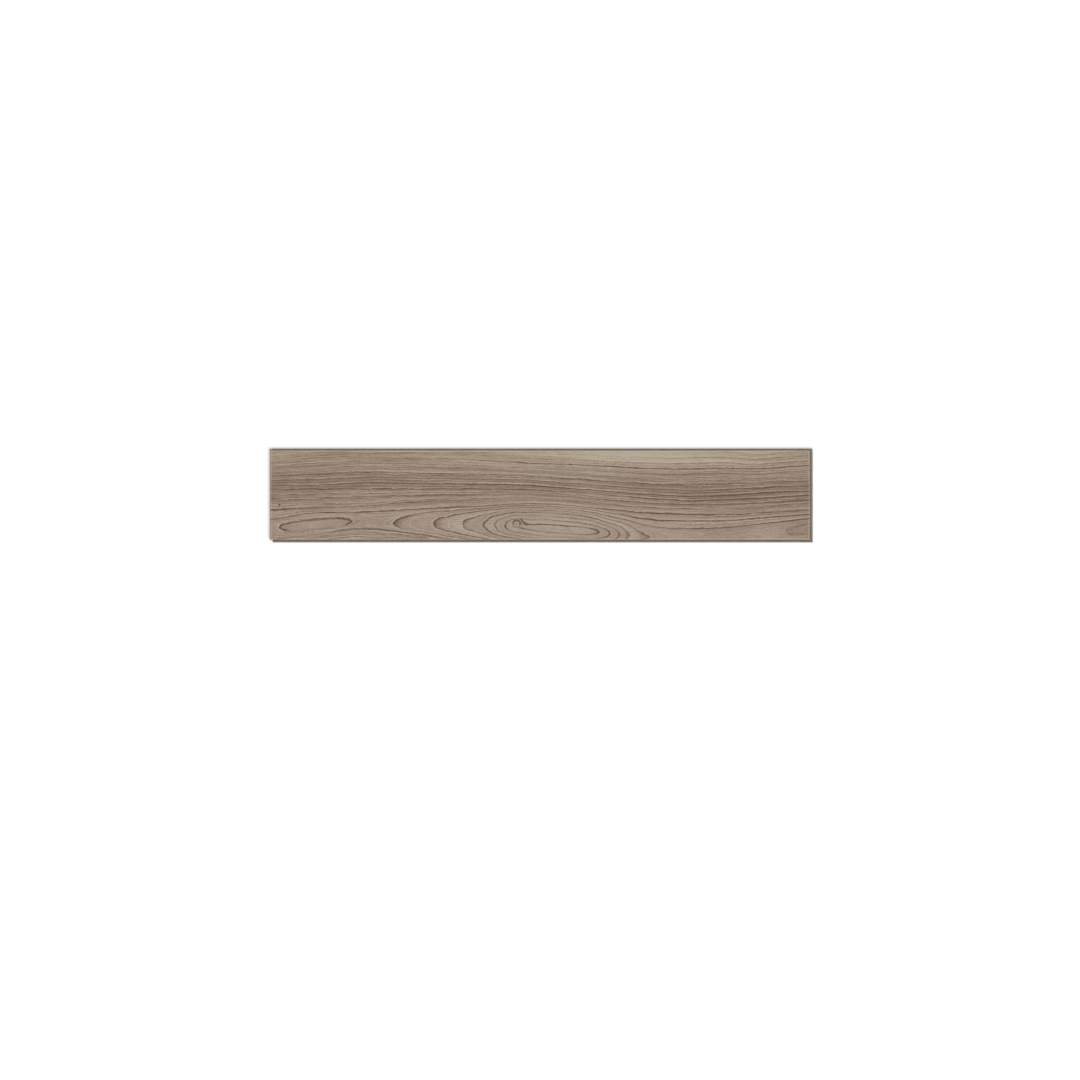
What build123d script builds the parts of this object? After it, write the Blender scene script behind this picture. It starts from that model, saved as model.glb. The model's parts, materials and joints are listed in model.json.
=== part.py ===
"""Vinyl floor plank with click-lock edges, one solid.

The plank lies face up on the floor. X runs along it, Y across it and Z up. The origin is on the
underside, below the middle of the decor face, so that planks repeat at the size of their faces.

The long edges roll together: the tongue at +Y turns about the top of the joint into the groove at -Y
of the next plank, and the bead on the groove's lower lip catches behind it. The ends drop together:
the hook at -X falls into the channel at +X of the plank before it.
"""

import os
from math import sqrt

from build123d import *

# Face and body, in millimetres
FACE_LENGTH = 914.4  # end joint to end joint
FACE_WIDTH = 152.4  # long joint to long joint
THICKNESS = 5.0
BEVEL_WIDTH = 1.0  # bevel round the face, seen from above
BEVEL_DEPTH = 0.5

# Both joints
CLEARANCE = 0.08  # between the two halves of a joint, apart from the faces that meet at its top
EASE_RADIUS = 0.25  # rounding of noses, beads and hooks

# Long joint: tongue and groove
LAND_DEPTH = 1.9  # from the face down to the groove's roof
LIP_THICKNESS = 1.3  # lower lip where it is thinnest, straight below the joint
TONGUE_REACH = 2.2
LIP_REACH = 4.2
LIP_TIP_HEIGHT = 0.9
BEAD_RISE = 0.8  # bead above the thinnest part of the lip
BEAD_CREST = 0.7

# End joint: hook and channel
MILLING_STEP = 0.2  # the end cuts lie this far above the bead and tongue that they cross
END_LIP_REACH = 4.8
CHANNEL_WIDTH = 2.1  # at its floor
POST_LEAN = 0.2  # how far the post leans in over the channel
POST_CREST = 1.7
SNAP_HEIGHT = 1.1  # height of the snap nose at the lip's tip
SNAP_CATCH = 0.3  # how far the snap nose stands out from the foot of the lip

# The planks touch at the top of the joint, at the foot of their bevels
joint_top = THICKNESS - BEVEL_DEPTH

# The lip's upper side and the tongue's underside are arcs about the top of the joint
lip_roll_radius = joint_top - LIP_THICKNESS
tongue_roll_radius = lip_roll_radius - CLEARANCE
groove_roof = THICKNESS - LAND_DEPTH
groove_depth = TONGUE_REACH + CLEARANCE
tongue_top = groove_roof - CLEARANCE
bead_top = LIP_THICKNESS + BEAD_RISE
bead_pocket_roof = bead_top + CLEARANCE

hook_bottom = bead_top + MILLING_STEP
channel_floor = hook_bottom - CLEARANCE
post_pocket_roof = tongue_top + MILLING_STEP
post_top = post_pocket_roof - CLEARANCE
channel_mouth = CHANNEL_WIDTH - POST_LEAN


def roll_height(radius, out):
    """Height of a roll arc at a distance from the joint."""
    return joint_top - sqrt(radius**2 - out**2)


def roll_out(radius, height):
    """Distance from the joint at which a roll arc has a height."""
    return sqrt(radius**2 - (joint_top - height) ** 2)


def tongue_side(out, height):
    """A point of the long section, measured outwards from the joint at +Y."""
    return (FACE_WIDTH / 2 + out, height)


def groove_side(out, height):
    """A point of the long section, measured outwards from the joint at -Y."""
    return (-FACE_WIDTH / 2 - out, height)


def lip_end(out, height):
    """A point of the end section, measured outwards from the joint at +X."""
    return (FACE_LENGTH / 2 + out, height)


def hook_end(out, height):
    """A point of the end section, measured outwards from the joint at -X."""
    return (-FACE_LENGTH / 2 - out, height)


def corners(sketch, *points):
    """The vertices of a sketch at these points."""
    return [sketch.vertices().sort_by_distance(point)[0] for point in points]


with BuildPart() as plank:
    # Section that both long edges are milled to
    with BuildSketch(Plane.YZ) as long_section:
        nose_top = tongue_side(TONGUE_REACH, tongue_top)
        nose_foot = tongue_side(TONGUE_REACH, roll_height(tongue_roll_radius, TONGUE_REACH))
        catch = tongue_side(-roll_out(tongue_roll_radius, bead_pocket_roof), bead_pocket_roof)
        bead_inner = groove_side(roll_out(lip_roll_radius, bead_top), bead_top)
        bead_outer = groove_side(roll_out(lip_roll_radius, bead_top) + BEAD_CREST, bead_top)
        lip_tip = groove_side(LIP_REACH, LIP_TIP_HEIGHT)
        groove_end = groove_side(-groove_depth, groove_roof)
        groove_foot = groove_side(-groove_depth, roll_height(lip_roll_radius, groove_depth))
        pocket_crest = roll_out(lip_roll_radius, bead_top) + BEAD_CREST + CLEARANCE
        pocket_reach = LIP_REACH + CLEARANCE
        with BuildLine():
            Polyline(
                groove_foot,
                groove_end,
                groove_side(0, groove_roof),
                groove_side(0, joint_top),
                groove_side(-BEVEL_WIDTH, THICKNESS),
                tongue_side(-BEVEL_WIDTH, THICKNESS),
                tongue_side(0, joint_top),
                tongue_side(0, tongue_top),
                nose_top,
                nose_foot,
            )
            ThreePointArc(nose_foot, tongue_side(0, LIP_THICKNESS + CLEARANCE), catch)
            Polyline(
                catch,
                tongue_side(-pocket_crest, bead_pocket_roof),
                tongue_side(-pocket_reach, LIP_TIP_HEIGHT + CLEARANCE),
                tongue_side(-pocket_reach, 0),
                groove_side(LIP_REACH, 0),
                lip_tip,
                bead_outer,
                bead_inner,
            )
            ThreePointArc(bead_inner, groove_side(0, LIP_THICKNESS), groove_foot)
        make_face()
        eased = corners(long_section, nose_top, nose_foot, groove_end, groove_foot)
        eased += corners(long_section, bead_inner, bead_outer, lip_tip)
        fillet(eased, EASE_RADIUS)
    extrude(amount=FACE_LENGTH, both=True)

    # Section that both ends are milled to, right across the long edges
    with BuildSketch(Plane.XZ) as end_section:
        hook_toe = hook_end(0, hook_bottom)
        hook_heel = hook_end(CLEARANCE - CHANNEL_WIDTH, hook_bottom)
        post_inner = lip_end(channel_mouth, post_top)
        post_outer = lip_end(channel_mouth + POST_CREST, post_top)
        snap_nose = lip_end(END_LIP_REACH, SNAP_HEIGHT)
        with BuildLine():
            Polyline(
                hook_end(-BEVEL_WIDTH, THICKNESS),
                lip_end(-BEVEL_WIDTH, THICKNESS),
                lip_end(0, joint_top),
                lip_end(0, channel_floor),
                lip_end(CHANNEL_WIDTH, channel_floor),
                post_inner,
                post_outer,
                snap_nose,
                lip_end(END_LIP_REACH - SNAP_CATCH, 0),
                hook_end(SNAP_CATCH - END_LIP_REACH - CLEARANCE, 0),
                hook_end(-END_LIP_REACH - CLEARANCE, SNAP_HEIGHT),
                hook_end(-channel_mouth - POST_CREST - CLEARANCE, post_pocket_roof),
                hook_end(CLEARANCE - channel_mouth, post_pocket_roof),
                hook_heel,
                hook_toe,
                hook_end(0, joint_top),
                close=True,
            )
        make_face()
        fillet(corners(end_section, hook_toe, hook_heel, post_inner, post_outer, snap_nose), EASE_RADIUS)
    extrude(amount=FACE_WIDTH, both=True, mode=Mode.INTERSECT)

plank.part.label = "plank"

os.makedirs("parts", exist_ok=True)
export_step(plank.part, "parts/plank.step")
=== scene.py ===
"""Looks of the vinyl floor plank: embossed wood-look face, painted bevel, milled edges and underside.

The scene is in metres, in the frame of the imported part. Only the figure of the printed wood is laid out
in millimetres, from the middle of the face, with x along the plank and y across it.
"""

import json
import math
from typing import NamedTuple

import bmesh
import bpy
import numpy as np
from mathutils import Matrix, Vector, noise


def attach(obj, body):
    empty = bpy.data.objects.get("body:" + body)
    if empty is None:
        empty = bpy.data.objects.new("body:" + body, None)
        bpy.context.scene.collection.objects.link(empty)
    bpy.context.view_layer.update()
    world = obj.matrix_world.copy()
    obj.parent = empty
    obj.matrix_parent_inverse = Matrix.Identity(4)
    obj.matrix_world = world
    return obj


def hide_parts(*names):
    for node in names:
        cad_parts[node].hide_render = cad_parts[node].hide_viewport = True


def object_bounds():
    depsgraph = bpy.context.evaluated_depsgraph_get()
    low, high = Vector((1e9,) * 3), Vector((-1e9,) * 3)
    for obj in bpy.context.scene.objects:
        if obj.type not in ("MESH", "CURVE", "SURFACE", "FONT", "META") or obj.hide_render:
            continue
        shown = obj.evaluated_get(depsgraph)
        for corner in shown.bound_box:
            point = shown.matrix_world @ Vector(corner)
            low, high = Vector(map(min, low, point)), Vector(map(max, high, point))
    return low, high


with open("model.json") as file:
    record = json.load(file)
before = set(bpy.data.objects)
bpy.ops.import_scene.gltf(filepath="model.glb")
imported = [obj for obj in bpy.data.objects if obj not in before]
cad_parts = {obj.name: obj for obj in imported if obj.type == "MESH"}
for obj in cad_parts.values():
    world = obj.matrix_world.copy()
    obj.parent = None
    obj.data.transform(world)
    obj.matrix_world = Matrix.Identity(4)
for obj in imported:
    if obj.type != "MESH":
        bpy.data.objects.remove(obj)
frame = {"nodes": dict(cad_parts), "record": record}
cad_low, cad_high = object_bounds()

MM = 0.001

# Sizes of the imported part
cad_plank = frame["nodes"]["plank"]
mounts = {mount["name"]: mount for mount in frame["record"]["mounts"]}
face_top = cad_high.z
face_length = -2 * cad_low.x  # joint to joint, because the hook end stops at its joint
groove_joint_y = mounts["groove_edge"]["pos_m"][1]

# Grid of the embossed face
CELLS_ALONG = 456
CELLS_ACROSS = 188
EMBOSS_DEPTH = 0.15 * MM  # of the grooves along the ring lines
FIBRE_DEPTH = 0.05 * MM
SAME_PLACE = 0.001 * MM  # points closer than this are one
FLAT_ANGLE = math.radians(0.05)
FLAT_NORMAL = 0.999  # least height of the unit normal of a level face
SLOPE_NORMAL = 0.5  # and of the bevel's
BEVEL_DEPTH = 0.5 * MM
UNDERSIDE_HEIGHT = 0.01 * MM

# Relief of the face, in millimetres
EMBOSS_MARGIN = 4.0  # relief fades out over this distance from the edge of the face
GROOVE_WIDTH = 1.4
FIBRE_LENGTH = 26.0
FIBRE_WIDTH = 1.9
FIBRE_PATTERN = 3.0  # picks one pattern of fibres out of many

# Materials of the plank, in the order of their slots
PRINT, BEVEL, CORE, UNDERSIDE = range(4)

# Heart of the flame-shaped figure: x, y and ring level. Ring lines are where the level is a whole number.
HEART = [
    (-471, -56, 7.40), (-442, -54, 7.00), (-425, -53, 6.92), (-381, -50, 6.88), (-335, -45.5, 6.90),
    (-318, -45, 7.00), (-285, -46, 7.25), (-249, -49, 7.00), (-181, -49, 6.00), (-132, -50, 5.00),
    (-97, -50, 4.00), (-78, -51, 3.00), (-61, -51.5, 2.00), (-44, -51.5, 1.00), (-25, -53.5, 0.72),
    (34, -58.5, 0.30), (70, -60.8, 0.44), (101, -63.3, 1.00), (120, -65.5, 2.00), (136, -66.5, 3.00),
    (152, -67.5, 4.00), (186, -71, 5.00), (237, -68, 5.40), (339, -67, 5.35), (417, -61, 5.00),
    (471, -56, 4.70),
]

# How much slower the ring level rises at the heart than at the lines beside it, along the plank
HEART_EASE = [
    (-471, 0.3), (-250, 0.2), (-180, 0.2), (-60, 0.3), (0, 0.38), (40, 0.36), (70, 0.33), (90, 0.22),
    (112, 0), (152, -0.1), (225, -0.17), (339, -0.09), (471, 0),
]

# Shape of the figure's tips along the plank: 1 is round and 2 is pointed
TIP_SHARPNESS = [
    (-471, 0.9), (-140, 0.9), (-60, 1.1), (60, 0.9), (105, 0.85), (122, 1.0), (152, 1.5), (250, 1.5),
    (380, 0.7), (471, 0.7),
]

# Ring lines that run the whole length, each with its ring level, from the lowest to the highest
LOWER_LINE = (8, [
    (-471, -78), (-406, -71), (-354, -63.5), (-303, -59), (-264, -60.5), (-208, -67.5), (-156, -75),
    (-102, -82), (-34, -89), (102, -105), (237, -122), (339, -119), (471, -93),
])
FLAME_LINE = (8, [
    (-471, -44), (-454, -41), (-400, -31), (-318, -29), (-227, -24), (-169, -21), (-102, -18),
    (-34, -14.5), (34, -16), (102, -22), (169, -28), (220, -30.5), (330, -32), (389, -28.5),
    (454, -25.5), (471, -25),
])
OUTER_LINE = (9, [
    (-471, -24.5), (-454, -24), (-412, -21.5), (-350, -19), (-305, -18), (-260, -14.5), (-227, -12),
    (-169, -9.5), (-102, -8), (-34, -6), (34, -8.5), (102, -14), (169, -19.5), (220, -22),
    (330, -22.5), (389, -19.5), (471, -14),
])
PAIR_LINE = (11, [
    (-471, 11), (-320, 11.5), (-152, 11.5), (-17, 10), (34, 7), (90, 3.5), (120, 0), (152, -2),
    (200, -5.5), (266, -8.5), (298, -7), (357, -5), (395, -3), (454, 1), (471, 2.5),
])
STRONG_LINE = (12, [
    (-471, 17), (-359, 18.5), (-276, 22), (-237, 20.5), (-68, 19), (-17, 17.5), (17, 14.5), (52, 12),
    (85, 9.5), (152, 4), (200, 1), (237, -1), (273, -1), (322, 1), (357, 3.5), (413, 6.5), (471, 7),
])
UPPER_LINE = (17, [
    (-471, 53), (-406, 58), (-339, 62), (-237, 63.5), (-117, 60.5), (-17, 55), (65, 52), (100, 50),
    (152, 47.5), (225, 45), (320, 46.5), (357, 45), (420, 48.5), (471, 51),
])

# How the width of the lines follows the distance between the rings
SLOWEST_RATE = 0.004  # least rings for each millimetre, where the figure turns
LINE_SPREAD = 0.45  # how much the ring lines widen where the rings are far apart
WIDEST_SPREAD = 5.0

# Tone of the print by ring level, as the green of its colour out of 255
RING_TONES = [
    (0, 141), (4, 140), (7, 137), (8.5, 133), (10, 125), (11, 118), (12, 114), (13, 118), (14, 123),
    (15, 128), (16, 131), (17, 133), (18, 136), (24, 139),
]
LIGHT_LEVEL = 7  # below the heart the tone is at least as light as at this ring level

# Pale sapwood along the upper edge: lightening, middle and half length of each stretch
SAPWOOD_LEVEL = 17.2
SAPWOOD_FADE = 1.2  # ring levels over which it begins
SAPWOOD_STRETCHES = [(29, 200, 150), (9, -60, 170)]

# Lighter and darker patches of the print: amount out of 255, place and half widths
TONE_PATCHES = [
    (-10, (430, -10), (150, 26)),
    (-3, (-400, 30), (140, 40)),
    (12, (-85, 38), (140, 16)),
    (3, (50, 36), (110, 14)),
    (8, (30, -50), (110, 20)),
    (3, (-180, -50), (80, 18)),
    (-4, (-300, -12), (130, 12)),
    (-3, (-350, 68), (150, 14)),
    (-9, (457, 14), (32, 18)),
    (-16, (448, -56), (40, 22)),
    (2, (300, -58), (60, 20)),
    (-3, (-370, -50), (80, 20)),
    (-8, (-246, -49.5), (8, 4)),
    (-12, (-177, -49), (8, 5)),
    (-12, (97, -63), (6, 5)),
    (-9, (116, -65.5), (5, 4)),
    (-12, (148, -67.5), (6, 4)),
]

# Where the rings darken more or less towards their lines: less in the closed eye, more at the flame's tips
LATE_PATCHES = [
    (-1.0, (-381, -50), (75, 14)),
    (1.5, (-238, -47), (14, 6)),
    (2.0, (-166, -49), (20, 8)),
    (1.2, (-120, -46), (14, 7)),
    (1.5, (92, -63), (10, 5)),
]

# Where the fine lines between the rings are stronger
FINE_PATCHES = [
    (1.3, (-385, -31), (110, 17)),
    (1.2, (-280, -70), (140, 9)),
    (0.5, (330, -45), (150, 12)),
    (0.8, (430, -20), (60, 14)),
    (0.5, (400, 25), (90, 20)),
    (0.7, (-360, 56), (120, 16)),
]

# Where the ring lines are weaker or stronger
LINE_PATCHES = [
    (0.7, (-322, -43), (14, 6)),
    (0.2, (-435, -52), (20, 8)),
    (0.4, (-12, -50), (12, 5)),
    (0.7, (26, -51), (24, 4)),
    (0.6, (-62, -52), (13, 10)),
    (0.5, (-116, -42), (16, 7)),
    (0.6, (112, -66), (28, 8)),
    (0.7, (-170, -21), (110, 6)),
    (-0.2, (-190, -48), (90, 22)),
    (0.45, (330, -38), (150, 16)),
    (-0.35, (-150, 60), (60, 8)),
    (-0.9, (-330, 62), (230, 14)),
    (-0.45, (280, -53), (130, 9)),
    (-0.4, (-400, 20), (190, 32)),
    (-0.25, (0, 15), (150, 30)),
    (0.3, (370, 0), (150, 30)),
]

# Stretches of single ring lines that are weaker or stronger: ring, side of the heart, amount, start and end
ABOVE = 1
BELOW = -1
RING_STRETCHES = [
    (1, ABOVE, -0.9, -50, -23),
    (1, ABOVE, 0.9, 82, 105),
    (1, BELOW, -0.3, 25, 92),
    (2, BELOW, -0.4, 0, 112),
    (5, ABOVE, -0.75, 400, 471),
    (5, BELOW, -0.6, 400, 471),
    (7, ABOVE, -0.35, -425, -345),
    (7, ABOVE, 0.5, -255, -222),
    (7, ABOVE, -0.3, -212, -110),
    (7, BELOW, -1.0, -427, -328),
    (7, BELOW, -0.6, -238, -150),
    (8, ABOVE, 0.7, -454, -230),
    (8, ABOVE, -0.4, 300, 471),
    (8, BELOW, 3.6, -345, -185),
    (9, ABOVE, 0.9, -471, -395),
    (9, ABOVE, 0.35, -395, -300),
    (9, ABOVE, -0.4, 300, 471),
    (10, ABOVE, -0.7, -445, -385),
    (12, ABOVE, 0.4, -60, 180),
    (14, ABOVE, 0.5, -90, 200),
    (14, ABOVE, -0.5, 320, 471),
]
STRETCH_FADE = 12  # length over which a stretch begins and ends
SIDE_FADE = 1.5  # width over which the sides of the heart meet

# Ring lines are a little stronger along the heart, where the figure has its tips
TIP_STRENGTH = 0.15
TIP_OFFSET = 3  # above the heart
TIP_HALF_WIDTH = 7

# What each point of the face knows of the wood
FIELDS = ("ring", "spread", "tone", "late", "seen", "fine")


def curve_through(points, x):
    """Heights at x of a smooth curve through points."""
    px, py = np.array(points, float).T
    slope = np.gradient(py, px)
    i = np.clip(np.searchsorted(px, x) - 1, 0, len(px) - 2)
    span = px[i + 1] - px[i]
    t = np.clip((x - px[i]) / span, 0, 1)
    start = (1 + 2 * t) * (1 - t) ** 2 * py[i] + t * (1 - t) ** 2 * span * slope[i]
    end = t * t * (3 - 2 * t) * py[i + 1] + t * t * (t - 1) * span * slope[i + 1]
    return start + end


def hill(distance, half_width):
    """A soft hill of height 1, by the distance from its middle."""
    return np.exp(-((distance / half_width) ** 2))


def patched(values, patches, x, y):
    """Values with soft patches added, each with its amount, place and half widths."""
    for amount, at, size in patches:
        values = values + amount * hill(x - at[0], size[0]) * hill(y - at[1], size[1])
    return values


def heart_line(x):
    """How far across the plank the heart is."""
    return curve_through([point[:2] for point in HEART], x)


def heart_level(x):
    """Ring level along the heart. The sharper the tips, the faster it rises just past each ring line."""
    level = curve_through([point[::2] for point in HEART], x)
    ring = np.floor(level)
    return ring + 1 - (1 - (level - ring)) ** curve_through(TIP_SHARPNESS, x)


def ring_level(x, y):
    """Ring level at points of the face."""
    heart = heart_line(x)
    core = heart_level(x)
    ease = curve_through(HEART_EASE, x)

    def across_at(level):
        """How far out a line of this level is, in ring levels."""
        return np.sqrt(level**2 - core**2)

    def eased(share):
        """A share of the way out from the heart, slow at first."""
        return np.where(share < 1, (1 - ease) * share + ease * share**3, share)

    level, line = LOWER_LINE
    across = eased((heart - y) / (heart - curve_through(line, x))) * across_at(level)
    level, line = FLAME_LINE
    last_y, last_across = curve_through(line, x), across_at(level)
    across = np.where(y > heart, eased((y - heart) / (last_y - heart)) * last_across, across)
    for level, line in (OUTER_LINE, PAIR_LINE, STRONG_LINE, UPPER_LINE):
        line_y, line_across = curve_through(line, x), across_at(level)
        share = (y - last_y) / (line_y - last_y)
        across = np.where(y > last_y, last_across + share * (line_across - last_across), across)
        last_y, last_across = line_y, line_across
    return np.sqrt(across**2 + core**2)


def ring_rate(level, x, y):
    """How many rings there are to a millimetre, at points of a grid."""
    slope = np.gradient(level, x[:, 0], y[0])
    return np.maximum(np.hypot(*slope), SLOWEST_RATE)


def print_tone(x, y, level):
    """Broad light and dark of the print, as the green of its colour out of 255."""
    shown_level = np.where(y > heart_line(x), level, np.minimum(level, LIGHT_LEVEL))
    tone = curve_through(RING_TONES, shown_level)
    sapwood = np.clip((level - SAPWOOD_LEVEL) / SAPWOOD_FADE, 0, 1)
    for amount, middle, half_length in SAPWOOD_STRETCHES:
        tone += amount * sapwood * hill(x - middle, half_length)
    return patched(tone, TONE_PATCHES, x, y)


def line_strength(x, y, level):
    """How strong the ring lines are."""
    out = y - heart_line(x)
    strength = patched(1 + TIP_STRENGTH * hill(out - TIP_OFFSET, TIP_HALF_WIDTH), LINE_PATCHES, x, y)
    for ring, side, amount, start, end in RING_STRETCHES:
        begun = np.clip((x - start) / STRETCH_FADE + 0.5, 0, 1)
        ended = np.clip((x - end) / STRETCH_FADE + 0.5, 0, 1)
        on_side = 0.5 + 0.5 * np.tanh(0.5 * side * out / SIDE_FADE)
        strength += amount * (np.round(level) == ring) * on_side * (begun - ended)
    return np.maximum(strength, 0)


def wood_fields(x, y):
    """The fields of the wood at points of a grid, by name."""
    level = ring_level(x, y)
    rate = ring_rate(level, x, y)
    return {
        "ring": level,
        "spread": rate * np.minimum(rate**-LINE_SPREAD, WIDEST_SPREAD),
        "tone": print_tone(x, y, level) / 255,
        "late": patched(np.ones_like(x), LATE_PATCHES, x, y),
        "seen": line_strength(x, y, level),
        "fine": patched(np.ones_like(x), FINE_PATCHES, x, y),
    }


def fibre_relief(x, y):
    """Fine fibres, from 0 to 1, long along the plank."""
    points = zip(x.ravel() / FIBRE_LENGTH, y.ravel() / FIBRE_WIDTH)
    heights = [noise.noise(Vector((along, across, FIBRE_PATTERN))) for along, across in points]
    return 0.5 + 0.5 * np.array(heights).reshape(x.shape)


def relief(x, y, level, seen):
    """Height of the embossing at points of a grid, from 0 down, in metres."""
    to_line = (1 - level % 1) / ring_rate(level, x, y)
    groove = hill(to_line, GROOVE_WIDTH) * np.minimum(seen, 1)
    to_edge = np.minimum(x.max() - abs(x), y.max() - abs(y))
    fade = np.clip(to_edge / EMBOSS_MARGIN, 0, 1)
    return -fade * (EMBOSS_DEPTH * groove + FIBRE_DEPTH * fibre_relief(x, y))


def take_out_flat_face(bm):
    """Removes the decor face, cuts its edges into cells and returns its lowest and highest corners."""
    level_faces = [face for face in bm.faces if face.normal.z > FLAT_NORMAL]
    face = max(level_faces, key=lambda level_face: level_face.calc_center_median().z)
    places = [vert.co.copy() for vert in face.verts]
    along = [edge for edge in face.edges if abs(edge.verts[0].co.y - edge.verts[1].co.y) < MM]
    across = [edge for edge in face.edges if abs(edge.verts[0].co.x - edge.verts[1].co.x) < MM]
    bm.faces.remove(face)
    bmesh.ops.subdivide_edges(bm, edges=along, cuts=CELLS_ALONG - 1)
    bmesh.ops.subdivide_edges(bm, edges=across, cuts=CELLS_ACROSS - 1)
    return Vector(map(min, *places)), Vector(map(max, *places))


def add_embossed_face(bm, low, high, layers):
    """Fills the place of the decor face with an embossed grid and returns the faces of the grid."""
    size = high - low
    rim = {}
    for vert in bm.verts:
        if vert.co.z > face_top - SAME_PLACE:
            column = round((vert.co.x - low.x) / size.x * CELLS_ALONG)
            row = round((vert.co.y - low.y) / size.y * CELLS_ACROSS)
            rim[column, row] = vert

    xs = np.linspace(low.x, high.x, CELLS_ALONG + 1)
    ys = np.linspace(low.y, high.y, CELLS_ACROSS + 1)
    x, y = np.meshgrid(xs / MM, ys / MM, indexing="ij")
    fields = wood_fields(x, y)
    height = face_top + relief(x, y, fields["ring"], fields["seen"])
    grid = {}
    for i in range(CELLS_ALONG + 1):
        for j in range(CELLS_ACROSS + 1):
            vert = rim.get((i, j)) or bm.verts.new((xs[i], ys[j], height[i, j]))
            for name, layer in layers.items():
                vert[layer] = fields[name][i, j]
            grid[i, j] = vert

    cells = set()
    for i in range(CELLS_ALONG):
        for j in range(CELLS_ACROSS):
            corners = (grid[i, j], grid[i + 1, j], grid[i + 1, j + 1], grid[i, j + 1])
            cells.add(bm.faces.new(corners))
    return cells


def edge_material(face):
    """The slot of the material that a face outside the print has."""
    height = face.calc_center_median().z
    if face.normal.z > SLOPE_NORMAL and height > face_top - BEVEL_DEPTH:
        return BEVEL
    if face.normal.z < -FLAT_NORMAL and height < UNDERSIDE_HEIGHT:
        return UNDERSIDE
    return CORE


def embossed_plank():
    """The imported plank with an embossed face, and half the length and half the width of that face."""
    mesh = cad_plank.data.copy()
    mesh.name = "plank_embossed"
    mesh.materials.clear()
    bm = bmesh.new()
    bm.from_mesh(mesh)
    layers = {name: bm.verts.layers.float.new(name) for name in FIELDS}
    bmesh.ops.remove_doubles(bm, verts=bm.verts, dist=SAME_PLACE)
    bmesh.ops.dissolve_limit(bm, angle_limit=FLAT_ANGLE, verts=bm.verts, edges=bm.edges)
    low, high = take_out_flat_face(bm)
    cells = add_embossed_face(bm, low, high, layers)
    for face in bm.faces:
        face.smooth = face in cells
        face.material_index = PRINT if face in cells else edge_material(face)
    bm.to_mesh(mesh)
    bm.free()
    plank = bpy.data.objects.new("plank_embossed", mesh)
    bpy.context.scene.collection.objects.link(plank)
    return plank, (high.x - low.x) / 2, (high.y - low.y) / 2


def linear(red, green, blue):
    """A colour out of 255, as the linear light that shaders take."""
    def channel(value):
        """One channel, by the sRGB curve."""
        share = value / 255
        return share / 12.92 if share <= 0.04045 else ((share + 0.055) / 1.055) ** 2.4
    return (channel(red), channel(green), channel(blue), 1.0)


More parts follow.
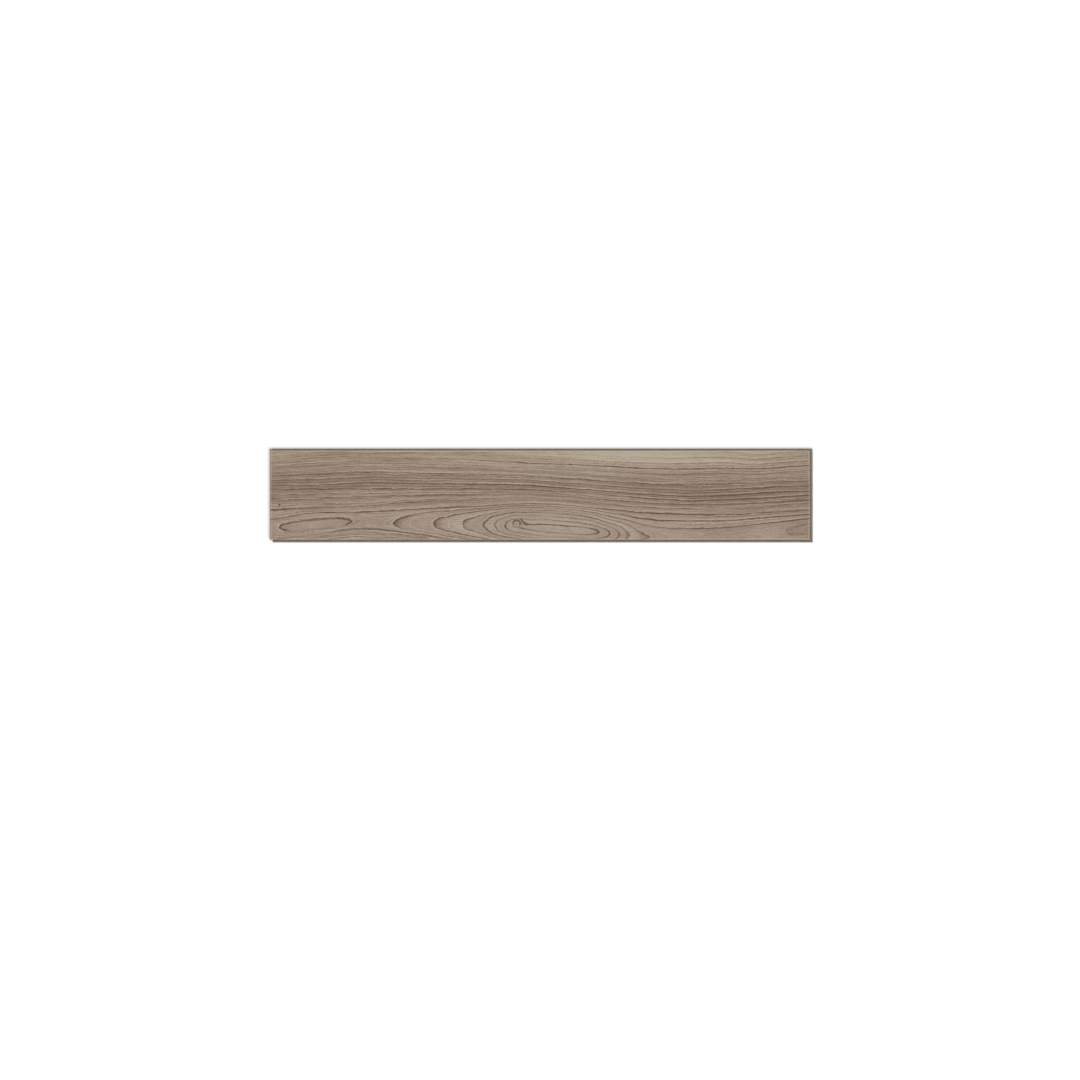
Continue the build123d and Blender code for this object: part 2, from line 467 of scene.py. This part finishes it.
class Nodes:
    """A material's node tree, with short calls for the nodes that are used here.

    Most calls take values, which are numbers or outputs of other nodes, and give back an output.
    """

    def __init__(self, name):
        self.material = bpy.data.materials.new(name)
        self.material.use_nodes = True
        self.tree = self.material.node_tree
        self.shader = self.tree.nodes["Principled BSDF"]
        self.output = self.tree.nodes["Material Output"]

    def node(self, kind, **settings):
        """A new node, with its settings."""
        made = self.tree.nodes.new(kind)
        for name, value in settings.items():
            setattr(made, name, value)
        return made

    def put(self, value, socket):
        """Links a socket to an output, or sets it to a number."""
        if isinstance(value, bpy.types.NodeSocket):
            self.tree.links.new(value, socket)
        else:
            socket.default_value = value

    def math(self, operation, *values, clamp=False):
        """One step of arithmetic."""
        made = self.node("ShaderNodeMath", operation=operation, use_clamp=clamp)
        for value, socket in zip(values, made.inputs):
            self.put(value, socket)
        return made.outputs[0]

    def add(self, first, second):
        """Two values added."""
        return self.math("ADD", first, second)

    def subtract(self, first, second):
        """The first value less the second."""
        return self.math("SUBTRACT", first, second)

    def multiply(self, first, second):
        """Two values multiplied."""
        return self.math("MULTIPLY", first, second)

    def divide(self, first, second):
        """The first value over the second."""
        return self.math("DIVIDE", first, second)

    def scaled(self, value, times, plus):
        """A value times a number, plus a number."""
        return self.add(self.multiply(value, times), plus)

    def plus(self, value, amount, *factors):
        """A value plus an amount that is multiplied by each of the factors."""
        for factor in factors:
            amount = self.multiply(factor, amount)
        return self.add(value, amount)

    def total(self, *weighted):
        """The sum of values, each times its weight."""
        products = [self.multiply(value, weight) for value, weight in weighted]
        value = products[0]
        for product in products[1:]:
            value = self.add(value, product)
        return value

    def vector(self, x, y, z):
        """A place made of three values."""
        made = self.node("ShaderNodeCombineXYZ")
        for value, socket in zip((x, y, z), made.inputs):
            self.put(value, socket)
        return made.outputs[0]

    def noise(self, place, scale=1.0, detail=2.0, roughness=0.5):
        """Cloudy noise about 0.5, with scale features for each unit of place."""
        made = self.node("ShaderNodeTexNoise")
        self.put(place, made.inputs["Vector"])
        made.inputs["Scale"].default_value = scale
        made.inputs["Detail"].default_value = detail
        made.inputs["Roughness"].default_value = roughness
        return made.outputs[0]

    def centred(self, value):
        """Noise about 0 instead of 0.5."""
        return self.subtract(value, 0.5)

    def field(self, name):
        """A field of the wood."""
        return self.node("ShaderNodeAttribute", attribute_name=name).outputs["Fac"]

    def between(self, value, start, end):
        """Goes smoothly from 0, where the value is start, to 1, where it is end."""
        made = self.node("ShaderNodeMapRange", interpolation_type="SMOOTHSTEP")
        self.put(value, made.inputs["Value"])
        made.inputs["From Min"].default_value = start
        made.inputs["From Max"].default_value = end
        return made.outputs[0]

    def ramp(self, value, stops):
        """A colour ramp through stops of position and linear colour."""
        made = self.node("ShaderNodeValToRGB")
        self.put(value, made.inputs[0])
        elements = made.color_ramp.elements
        while len(elements) < len(stops):
            elements.new(0.5)
        for element, (position, colour) in zip(elements, stops):
            element.position = position
            element.color = colour
        return made.outputs[0]

    def graded(self, value, colours):
        """A colour for a value, through positions and colours out of 255."""
        return self.ramp(value, [(position, linear(*colour)) for position, colour in colours])

    def steps(self, value, heights):
        """The height for the whole number nearest to a value."""
        near = self.divide(self.add(value, 0.5), len(heights))
        made = self.ramp(near, [(i / len(heights), (v, v, v, 1)) for i, v in enumerate(heights)])
        made.node.color_ramp.interpolation = "CONSTANT"
        return made

    def mixed(self, share, first, second):
        """The first colour, turning into the second as share goes to 1."""
        made = self.node("ShaderNodeMix", data_type="RGBA")
        self.put(share, made.inputs["Factor"])
        self.put(first, made.inputs[6])
        self.put(second, made.inputs[7])
        return made.outputs[2]


class PlankMaterial(Nodes):
    """A material of the plank, with the plank's own coordinates in metres."""

    def __init__(self, name):
        super().__init__(name)
        self.place = self.node("ShaderNodeTexCoord").outputs["Object"]
        split = self.node("ShaderNodeSeparateXYZ")
        self.put(self.place, split.inputs[0])
        self.x, self.y, self.z = split.outputs

    def streaky(self, scales, detail=2.0, roughness=0.5):
        """Noise with features for each metre along, across and up."""
        stretched = self.node("ShaderNodeMapping")
        self.put(self.place, stretched.inputs["Vector"])
        stretched.inputs["Scale"].default_value = scales
        return self.noise(stretched.outputs[0], detail=detail, roughness=roughness)

    def surface(self, colour, roughness, height, strength, depth):
        """Gives the shader its colour and roughness, and bump from a height."""
        bump = self.node("ShaderNodeBump")
        bump.inputs["Strength"].default_value = strength
        bump.inputs["Distance"].default_value = depth
        self.put(height, bump.inputs["Height"])
        self.put(colour, self.shader.inputs["Base Color"])
        self.put(roughness, self.shader.inputs["Roughness"])
        self.put(bump.outputs[0], self.shader.inputs["Normal"])


# Colours of the print from dark to light, in its brown and its beige parts. The green of each is its tone.
BROWN_COLOURS = [(93, 72, 55), (128, 106, 89), (149, 128, 112), (166, 146, 130), (185, 166, 149)]
BEIGE_COLOURS = [(92, 72, 54), (126, 106, 88), (147, 128, 110), (163, 146, 127), (181, 166, 149)]
BEIGE_TONES = (0.47, 0.56)  # the print turns from brown to beige between these tones
HUE_PATCHES = 0.12  # how much patches of the print change that
FLAME_BROWN = -0.03  # and how much browner the flame figure is
FLAME_LEVELS = (9.0, 6.0)  # the flame figure begins between these ring levels

# Noise in the print: features for each metre along, across and up the plank
WAVER_SCALES = (34, 130, 1)
RAGGED_SCALES = (150, 420, 1)
FIBRE_SCALES = (40, 620, 1)
FLECK_SCALES = (210, 420, 1)
PORE_SCALES = (230, 3000, 1)

# Noise that follows the rings: features for each metre along the plank and for each ring
STREAK_SCALES = (5.0, 1.3)
PATCH_SCALES = (7.0, 0.5)
PATCH_PATTERN = 9.0

# How far the lines leave their course, in millimetres
WAVER_REACH = 1.3
RAGGED_REACH = 0.7

# How much each ring line stands out, from the heart outwards
RING_STRENGTHS = [
    0.8, 0.8, 0.8, 0.55, 0.85, 0.85, 0.9, 0.85, 0.9, 0.6, 0.7, 0.95, 1.15, 0.45, 0.85, 0.45, 0.4, 0.85,
    0.35, 0.3, 0.25, 0.25, 0.25, 0.25, 0.25,
]
STRONGEST_RING = 1.2
RING_CHANGES = 9.0  # changes of strength for each metre along a line
RING_FADES = (0.2, 0.7)
LEAST_STRENGTH = 0.45  # where a line is faintest
LINE_ROWS = 7.3  # sets the changes of each line apart from its neighbours'

# Widths of the lines in millimetres, and how much they darken or lighten the print
RING_WIDTH = 0.9
RING_PALE_WIDTH = 1.1
HEAVY_WIDENING = 0.6  # strong lines are wider
FAINT_WIDTH = 0.5
FULL_WIDTH = 0.25  # the share of a line's width that has its full strength
RING_DARK = -0.19
RING_LATE = -0.05
RING_PALE = 0.06
LATE_SHARE = 0.65  # the share of a ring at which its late wood begins
PALE_LEVELS = (2.0, 10.0)  # pale lines come in between these ring levels


class FineLines(NamedTuple):
    """A set of fine lines between the rings."""

    per_ring: float
    width: float  # in millimetres
    changes: float  # changes of strength for each metre along a line
    fades: tuple
    dark: float
    pale: float
    in_wide_rings: bool  # only where the rings are far apart, instead of outside the flame figure


FINE_LINES = [
    FineLines(1.83, 0.80, 14.0, (0.32, 0.58), -0.125, 0.085, False),
    FineLines(3.37, 0.64, 22.0, (0.42, 0.62), -0.075, 0.050, False),
    FineLines(5.71, 0.60, 18.0, (0.38, 0.62), -0.100, 0.070, True),
]
FINE_PALE_WIDTH = 1.1  # of the pale line, for each millimetre of the dark one
FINE_LEVELS = (3.0, 9.5)  # fine lines come in between these ring levels
TOP_LEVELS = (15.0, 19.0)  # and are weaker above these
TOP_WEAKENING = 0.4
WIDE_SPREADS = (0.30, 0.20)
WIDE_STRENGTH = 0.75
WIDE_LEAST = 0.1

# How much streaks, fibres, flecks and pores change the print
STREAK_TONE = 0.26
FIBRE_TONE = 0.26
FLECK_TONE = 0.10
PORE_TONE = -0.09
PORE_RANGE = (0.52, 0.72)
PRINT_LIGHTENING = 0.007  # makes up for the lines

# Painted highlight: a pale line along the edges of the face, where the bevel's shoulder would catch the
# light
RIM_HIGHLIGHT_TONE = 0.15
RIM_HIGHLIGHT_RANGE = (1.9 * MM, 0.7 * MM)

# The knot in the flame figure: a dark ring round paler wood, with a spot in it
KNOT = (-39.5 * MM, -48.8 * MM)
KNOT_RADIUS = 7.0 * MM
KNOT_WOBBLE = 2.5 * MM
KNOT_TONE = 0.56
KNOT_RING_TONE = -0.36
KNOT_SPOT_TONE = -0.10
KNOT_FIBRE_TONE = 0.20
KNOT_EDGE = (1.25 * KNOT_RADIUS, 0.95 * KNOT_RADIUS)
KNOT_RING = (0.5 * KNOT_RADIUS, 0.85 * KNOT_RADIUS)
KNOT_SPOT = (0.36 * KNOT_RADIUS, 0.14 * KNOT_RADIUS)
KNOT_SHADE = (-1.6 * KNOT_RADIUS, 0.8 * KNOT_RADIUS)  # the ring is darkest above
KNOT_DASHES = (0.38, 0.58)
KNOT_DASH_SHADE = 0.6
KNOT_LEAST_SHADE = 0.5
KNOT_DASHES_PER_METRE = 420
KNOT_WOBBLES_PER_METRE = 260

# The dark stroke that sweeps down from the knot's upper right
TAIL_START = KNOT[0] + 7.0 * MM
TAIL_LENGTH = 14.0 * MM
TAIL_RISE = 9.0 * MM
TAIL_FOOT = KNOT[1] - 2.0 * MM
TAIL_BEND = 1.6
TAIL_TONE = -0.24
TAIL_WIDTHS = (3.6 * MM, 1.4 * MM)
TAIL_BEGIN = (TAIL_START - 1.0 * MM, TAIL_START + 1.0 * MM)
TAIL_END = (TAIL_START + TAIL_LENGTH, TAIL_START + 0.6 * TAIL_LENGTH)

# The pin knot near the left end
PIN_KNOT = (-441.3 * MM, -16.9 * MM)
PIN_KNOT_RADIUS = 2.1 * MM
PIN_KNOT_WOBBLE = 0.3 * MM
PIN_KNOT_TONE = -0.5
PIN_KNOT_EDGE = (PIN_KNOT_RADIUS, 0.6 * PIN_KNOT_RADIUS)

# Satin wear layer: roughness, what fibres and patches add to it, and the ticking of its film
SATIN_ROUGHNESS = 0.34
FIBRE_ROUGHNESS = 0.22
PATCH_ROUGHNESS = 0.12
PORE_TICKING = 0.6
FILM_BUMP = 0.35
FILM_DEPTH = 0.1 * MM


class WoodPrint(PlankMaterial):
    """The embossed face: printed rings and fibres under a satin wear layer.

    The print starts from the broad tone of each point, and each step darkens or lightens it.
    """

    def __init__(self, half_length, half_width):
        super().__init__("wood_print")
        self.spread = self.field("spread")
        self.level = self.wavering_level()
        self.tone = self.field("tone")
        self.fibres = self.streaky(FIBRE_SCALES, detail=3.0, roughness=0.65)
        self.pores = self.streaky(PORE_SCALES, detail=1.0)
        self.patches = self.along_rings(PATCH_SCALES, PATCH_PATTERN, detail=2.0)
        value = self.with_rings(self.tone)
        value = self.with_fine_lines(value)
        value = self.with_fibres(value)
        # painted highlight along the edges of the face
        value = self.with_painted_rim_highlight(value, half_length, half_width)
        value = self.with_tail(value)
        value = self.with_knot(value)
        value = self.with_pin_knot(value)
        self.satin(self.colour(value))

    def along_rings(self, scales, pattern, detail):
        """Noise that follows the rings."""
        along = self.multiply(self.x, scales[0])
        return self.noise(self.vector(along, self.multiply(self.level, scales[1]), pattern), detail=detail)

    def wavering_level(self):
        """The ring level, with lines that waver by about a millimetre along their length."""
        waver = self.centred(self.streaky(WAVER_SCALES, detail=2.0))
        ragged = self.centred(self.streaky(RAGGED_SCALES, detail=1.0))
        off_course = self.total((waver, WAVER_REACH), (ragged, RAGGED_REACH))
        return self.add(self.field("ring"), self.multiply(off_course, self.spread))

    def lines(self, level, spread, width, pale_width):
        """Dark lines where each ring ends, and pale lines past them."""
        share = self.math("FRACT", level)
        to_line = self.divide(self.subtract(1.0, share), spread)
        past_line = self.divide(share, spread)
        dark = self.between(to_line, width, FULL_WIDTH * width)
        pale = self.between(past_line, pale_width, FULL_WIDTH * pale_width)
        return dark, pale

    def along_lines(self, level, changes, pattern, fades):
        """How strong each line is along its length."""
        row = self.multiply(self.math("ROUND", level), LINE_ROWS)
        place = self.vector(self.multiply(self.x, changes), row, pattern)
        return self.between(self.noise(place, detail=1.0), *fades)

    def with_rings(self, value):
        """Growth rings: late wood that darkens towards a dark line, and a pale line past it."""
        along = self.along_lines(self.level, RING_CHANGES, 0.0, RING_FADES)
        strength = self.steps(self.level, RING_STRENGTHS)
        strength = self.multiply(strength, self.add(along, LEAST_STRENGTH))
        strength = self.multiply(strength, self.field("seen"))
        heavy = self.scaled(strength, HEAVY_WIDENING, FAINT_WIDTH)
        strength = self.math("MINIMUM", strength, STRONGEST_RING)
        spread = self.multiply(self.spread, heavy)
        dark, pale = self.lines(self.level, spread, RING_WIDTH, RING_PALE_WIDTH)
        late = self.between(self.math("FRACT", self.level), LATE_SHARE, 1.0)
        value = self.plus(value, RING_DARK, dark, strength)
        value = self.plus(value, RING_LATE, late, self.field("late"), strength)
        return self.plus(value, RING_PALE, pale, strength, self.between(self.level, *PALE_LEVELS))

    def with_fine_lines(self, value):
        """Fine lines between the rings, weaker within the flame figure and at the top."""
        at_top = self.multiply(self.between(self.level, *TOP_LEVELS), TOP_WEAKENING)
        plain = self.subtract(self.between(self.level, *FINE_LEVELS), at_top)
        plain = self.multiply(plain, self.field("fine"))
        wide = self.scaled(self.between(self.spread, *WIDE_SPREADS), WIDE_STRENGTH, WIDE_LEAST)
        for fine in FINE_LINES:
            level = self.multiply(self.level, fine.per_ring)
            spread = self.multiply(self.spread, fine.per_ring ** (1 - LINE_SPREAD))
            dark, pale = self.lines(level, spread, fine.width, FINE_PALE_WIDTH * fine.width)
            along = self.along_lines(level, fine.changes, fine.per_ring, fine.fades)
            strength = self.multiply(along, wide if fine.in_wide_rings else plain)
            value = self.plus(value, fine.dark, dark, strength)
            value = self.plus(value, fine.pale, pale, strength)
        return value

    def with_fibres(self, value):
        """Broad streaks along the rings, fibres, flecks and pores."""
        streaks = self.along_rings(STREAK_SCALES, 0.0, detail=3.0)
        flecks = self.streaky(FLECK_SCALES, detail=2.0)
        value = self.plus(value, STREAK_TONE, self.centred(streaks))
        value = self.plus(value, FIBRE_TONE, self.centred(self.fibres))
        value = self.plus(value, FLECK_TONE, self.centred(flecks))
        value = self.plus(value, PORE_TONE, self.between(self.pores, *PORE_RANGE))
        return self.add(value, PRINT_LIGHTENING)

    def with_painted_rim_highlight(self, value, half_length, half_width):
        """A painted highlight: a pale line along the edges of the face, standing in for the light on the
        bevel's shoulder.
        """
        to_end = self.subtract(half_length, self.math("ABSOLUTE", self.x))
        to_side = self.subtract(half_width, self.math("ABSOLUTE", self.y))
        return self.plus(value, RIM_HIGHLIGHT_TONE, self.between(self.math("MINIMUM", to_end, to_side), *RIM_HIGHLIGHT_RANGE))

    def with_tail(self, value):
        """The stroke that sweeps down from the knot into the line beside it."""
        gone = self.math("DIVIDE", self.subtract(self.x, TAIL_START), TAIL_LENGTH, clamp=True)
        rise = self.multiply(self.math("POWER", self.subtract(1.0, gone), TAIL_BEND), TAIL_RISE)
        off_tail = self.math("ABSOLUTE", self.subtract(self.subtract(self.y, TAIL_FOOT), rise))
        tail = self.between(off_tail, *TAIL_WIDTHS)
        tail = self.multiply(tail, self.between(self.x, *TAIL_BEGIN))
        tail = self.multiply(tail, self.between(self.x, *TAIL_END))
        return self.plus(value, TAIL_TONE, tail)

    def away_from(self, at, wobble):
        """Distance from a place, with an uneven outline."""
        dx = self.subtract(self.x, at[0])
        dy = self.subtract(self.y, at[1])
        out = self.math("SQRT", self.add(self.multiply(dx, dx), self.multiply(dy, dy)))
        rough = self.centred(self.noise(self.place, scale=KNOT_WOBBLES_PER_METRE, detail=1.0))
        return self.add(out, self.multiply(rough, wobble))

    def with_knot(self, value):
        """The knot in the flame figure, in the place of the wood that was there."""
        out = self.away_from(KNOT, KNOT_WOBBLE)
        inside = self.between(out, *KNOT_EDGE)
        ring = self.multiply(self.between(out, *KNOT_RING), inside)
        dashes = self.noise(self.place, scale=KNOT_DASHES_PER_METRE, detail=1.0)
        dashes = self.between(dashes, *KNOT_DASHES)
        shade = self.between(self.subtract(self.y, KNOT[1]), *KNOT_SHADE)
        shade = self.multiply(shade, self.scaled(dashes, KNOT_DASH_SHADE, KNOT_LEAST_SHADE))
        knot = self.plus(KNOT_TONE, KNOT_RING_TONE, ring, shade)
        knot = self.plus(knot, KNOT_SPOT_TONE, self.between(out, *KNOT_SPOT))
        knot = self.plus(knot, KNOT_FIBRE_TONE, self.centred(self.fibres))
        outside = self.subtract(1.0, inside)
        return self.add(self.multiply(value, outside), self.multiply(knot, inside))

    def with_pin_knot(self, value):
        """The small dark knot near the left end."""
        out = self.away_from(PIN_KNOT, PIN_KNOT_WOBBLE)
        return self.plus(value, PIN_KNOT_TONE, self.between(out, *PIN_KNOT_EDGE))

    def colour(self, value):
        """The colour of the print for its tone: brown in the dark band, beige where it is light."""
        brown = self.graded(value, [(colour[1] / 255, colour) for colour in BROWN_COLOURS])
        beige = self.graded(value, [(colour[1] / 255, colour) for colour in BEIGE_COLOURS])
        hue = self.plus(self.tone, HUE_PATCHES, self.centred(self.patches))
        hue = self.plus(hue, FLAME_BROWN, self.between(self.level, *FLAME_LEVELS))
        return self.mixed(self.between(hue, *BEIGE_TONES), brown, beige)

    def satin(self, colour):
        """Satin wear layer, rougher in the fibres, with the fine ticking of an embossed film."""
        uneven = self.total((self.fibres, FIBRE_ROUGHNESS), (self.patches, PATCH_ROUGHNESS))
        ticking = self.subtract(self.fibres, self.multiply(self.pores, PORE_TICKING))
        self.surface(colour, self.add(uneven, SATIN_ROUGHNESS), ticking, FILM_BUMP, FILM_DEPTH)


# Colours of the other surfaces, by position from dark to light
BEVEL_COLOURS = [(0.25, (108, 90, 75)), (0.6, (130, 112, 96)), (1.0, (160, 143, 126))]
CORE_COLOURS = [(0.34, (112, 99, 87)), (0.5, (134, 120, 107)), (0.66, (156, 143, 129))]
UNDERSIDE_COLOURS = [(0.34, (113, 100, 88)), (0.5, (132, 118, 105)), (0.66, (148, 134, 121))]

# Noise in them: features for each metre along, across and up, or all ways
MOTTLE_SCALES = (90, 240, 900)
SCUFF_SCALES = (160, 160, 160)
SIDE_MARK_SCALES = (25, 4200, 4200)
END_MARK_SCALES = (4200, 25, 4200)
UNDERSIDE_STREAK_SCALES = (3, 90, 1)
CLOUDS_PER_METRE = 60
CORE_GRAINS_PER_METRE = 3800
UNDERSIDE_GRAINS_PER_METRE = 3000
PEBBLES_PER_METRE = 900

WORN_DEPTH = 0.22 * MM  # of the worn upper edge of the bevel
WORN_RANGE = (0.42, 0.66)
WORN_LIGHTENING = 0.45
END_REACH = 6.0 * MM  # the cutter runs across the plank within this distance of the face's ends


def bevel_paint():
    """The pressed and painted bevel round the face, worn pale along its upper edge."""
    n = PlankMaterial("bevel_paint")
    mottle = n.streaky(MOTTLE_SCALES, detail=3.0)
    scuffs = n.streaky(SCUFF_SCALES, detail=2.0)
    near_top = n.between(n.z, face_top - WORN_DEPTH, face_top)
    worn = n.multiply(near_top, n.between(scuffs, *WORN_RANGE))
    value = n.plus(n.scaled(mottle, times=0.5, plus=0.2), WORN_LIGHTENING, worn)
    roughness = n.scaled(scuffs, times=0.3, plus=0.4)
    n.surface(n.graded(value, BEVEL_COLOURS), roughness, mottle, strength=0.3, depth=0.1 * MM)
    return n.material


def milled_core(half_length):
    """Filled vinyl where the edges are milled: specks of filler, and marks along the cutter's path."""
    n = PlankMaterial("milled_core")
    along_side = n.streaky(SIDE_MARK_SCALES, detail=2.0)
    along_end = n.streaky(END_MARK_SCALES, detail=2.0)
    at_end = n.math("GREATER_THAN", n.math("ABSOLUTE", n.x), half_length - END_REACH)
    marks = n.mixed(at_end, along_side, along_end)
    cloud = n.noise(n.place, scale=CLOUDS_PER_METRE, detail=2.0)
    grains = n.noise(n.place, scale=CORE_GRAINS_PER_METRE, detail=2.0)
    value = n.total((grains, 0.45), (marks, 0.35), (cloud, 0.2))
    roughness = n.scaled(marks, times=0.3, plus=0.5)
    height = n.plus(marks, 0.5, grains)
    n.surface(n.graded(value, CORE_COLOURS), roughness, height, strength=0.4, depth=0.12 * MM)
    return n.material


def underside_vinyl():
    """Calendered underside of the filled vinyl: a fine pebbled skin with streaks along the plank."""
    n = PlankMaterial("underside_vinyl")
    pebbles = n.node("ShaderNodeTexVoronoi", feature="SMOOTH_F1")
    n.put(n.place, pebbles.inputs["Vector"])
    pebbles.inputs["Scale"].default_value = PEBBLES_PER_METRE
    pebble = pebbles.outputs["Distance"]
    grains = n.noise(n.place, scale=UNDERSIDE_GRAINS_PER_METRE, detail=2.0)
    streaks = n.streaky(UNDERSIDE_STREAK_SCALES, detail=4.0)
    value = n.total((grains, 0.45), (streaks, 0.35), (pebble, 0.25))
    roughness = n.scaled(streaks, times=0.25, plus=0.45)
    n.surface(n.graded(value, UNDERSIDE_COLOURS), roughness, pebble, strength=0.5, depth=0.25 * MM)
    return n.material


# Floor, light and camera
WHITE = (1, 1, 1, 1)
FLOOR_SIZE = 200
FLOOR_GAP = 0.2 * MM  # below the underside
FLOOR_GREY = (0.8, 0.8, 0.8, 1)
FLOOR_GLOW = 0.22  # lifts the lit floor to white
FLOOR_ROUGHNESS = 0.9
CLEAR_LENGTH = 0.6 * MM  # light that has come less far than this goes through the floor
WORLD_STRENGTH = 0.6
KEY_STRENGTH = 1.75
KEY_ANGLE = math.radians(35)
KEY_DIRECTION = (-0.45, 0.55, -0.75)  # in which its light travels
PICTURE_LENGTHS = 2  # width of the picture, in lengths of the face
LENS = 200
SENSOR_WIDTH = 36
FARTHEST_SEEN = 500


def white_floor():
    """A white floor that shows the plank's shadow, and is clear from below."""
    bpy.ops.mesh.primitive_plane_add(size=FLOOR_SIZE, location=(0, 0, -FLOOR_GAP))
    floor = bpy.context.object
    floor.name = "floor"
    n = Nodes("floor_white")
    n.shader.inputs["Base Color"].default_value = FLOOR_GREY
    n.shader.inputs["Roughness"].default_value = FLOOR_ROUGHNESS
    n.shader.inputs["Specular IOR Level"].default_value = 0.0
    n.shader.inputs["Emission Color"].default_value = WHITE
    rays = n.node("ShaderNodeLightPath").outputs
    mirrored = n.math("MAXIMUM", rays["Is Glossy Ray"], rays["Is Transmission Ray"])
    seen = n.math("MAXIMUM", rays["Is Camera Ray"], mirrored)
    n.put(n.multiply(seen, FLOOR_GLOW), n.shader.inputs["Emission Strength"])

    # It is also clear for the light between it and the underside
    from_below = n.node("ShaderNodeNewGeometry").outputs["Backfacing"]
    close = n.math("LESS_THAN", rays["Ray Length"], CLEAR_LENGTH)
    either = n.node("ShaderNodeMixShader")
    n.put(n.math("MAXIMUM", from_below, close), either.inputs["Fac"])
    n.put(n.shader.outputs[0], either.inputs[1])
    n.put(n.node("ShaderNodeBsdfTransparent").outputs[0], either.inputs[2])
    n.put(either.outputs[0], n.output.inputs["Surface"])
    floor.data.materials.append(n.material)


def lights():
    """Even white light from all round, and a soft key lamp."""
    world = bpy.data.worlds.new("studio")
    bpy.context.scene.world = world
    world.use_nodes = True
    background = world.node_tree.nodes["Background"]
    background.inputs["Color"].default_value = WHITE
    background.inputs["Strength"].default_value = WORLD_STRENGTH
    lamp = bpy.data.lights.new("soft_key", "SUN")
    lamp.energy = KEY_STRENGTH
    lamp.angle = KEY_ANGLE
    key = bpy.data.objects.new("soft_key", lamp)
    key.rotation_mode = "QUATERNION"
    key.rotation_quaternion = Vector(KEY_DIRECTION).to_track_quat("-Z", "Y")
    bpy.context.scene.collection.objects.link(key)


def camera():
    """Straight down, with the joint at the groove in the middle of the picture."""
    data = bpy.data.cameras.new("camera")
    data.lens = LENS
    data.sensor_width = SENSOR_WIDTH
    data.clip_end = FARTHEST_SEEN
    cam = bpy.data.objects.new("camera", data)
    distance = PICTURE_LENGTHS * face_length / SENSOR_WIDTH * LENS
    cam.location = (0, groove_joint_y, face_top + distance)
    bpy.context.scene.collection.objects.link(cam)
    bpy.context.scene.camera = cam


plank, half_length, half_width = embossed_plank()
plank.data.materials.append(WoodPrint(half_length, half_width).material)
plank.data.materials.append(bevel_paint())
plank.data.materials.append(milled_core(half_length))
plank.data.materials.append(underside_vinyl())
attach(plank, "root")
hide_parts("plank")

white_floor()
lights()
camera()
bpy.context.scene.view_settings.view_transform = "Standard"
